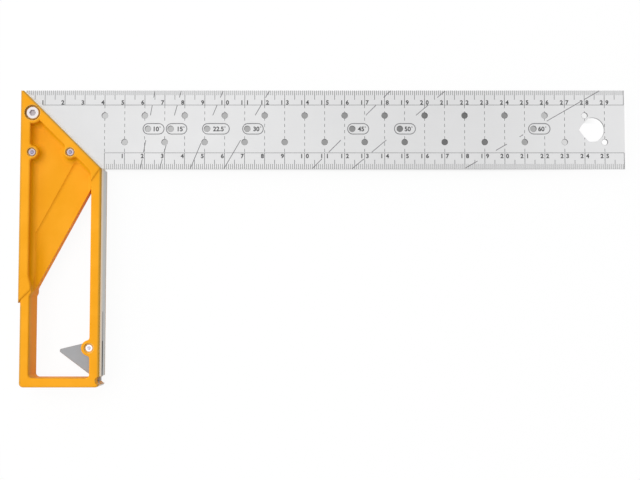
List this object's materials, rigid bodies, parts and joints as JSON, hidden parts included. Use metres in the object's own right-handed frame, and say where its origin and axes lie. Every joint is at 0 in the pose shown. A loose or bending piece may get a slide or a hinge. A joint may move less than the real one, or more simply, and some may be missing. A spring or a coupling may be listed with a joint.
{
  "type": "try and mitre square",
  "caption": "Try and mitre square: steel rule blade with scales and angle holes, held in a cast stock with a 45 degree face, a window and a fold-out support ledge.",
  "frame": {"origin": "middle of the outline of the square where it lies on its back face", "axes": "+X along the blade to its free end, +Y from the foot of the stock to the outer edge of the blade, +Z out of the front face"},
  "size_m": [0.3, 0.1474, 0.0176],
  "materials": {
    "painted_casting": "orange-yellow paint on a cast aluminium stock, fence and mitre face milled bare",
    "stainless_blade": "satin stainless steel with etched scales",
    "plated_fasteners": "bright nickel plated steel",
    "zinc_plate": "dull grey zinc plated sheet steel",
    "spring_steel": "plain spring steel"
  },
  "bodies": {
    "root": {"stock": "painted_casting", "blade": "stainless_blade", "blade_rivets": "plated_fasteners", "clamp_screw": "plated_fasteners", "clamp_nut": "plated_fasteners", "ledge_pivot_rivet": "plated_fasteners", "ledge_spring_washers": "spring_steel"},
    "ledge": {"ledge": "zinc_plate"}
  },
  "joints": [
    {"name": "ledge_hinge", "type": "hinge", "parent": "root", "child": "ledge", "pos_m": [-0.1151, -0.0546, 0.0088], "axis": [0, 0, 1], "range_deg": [0, 60]}
  ]
}
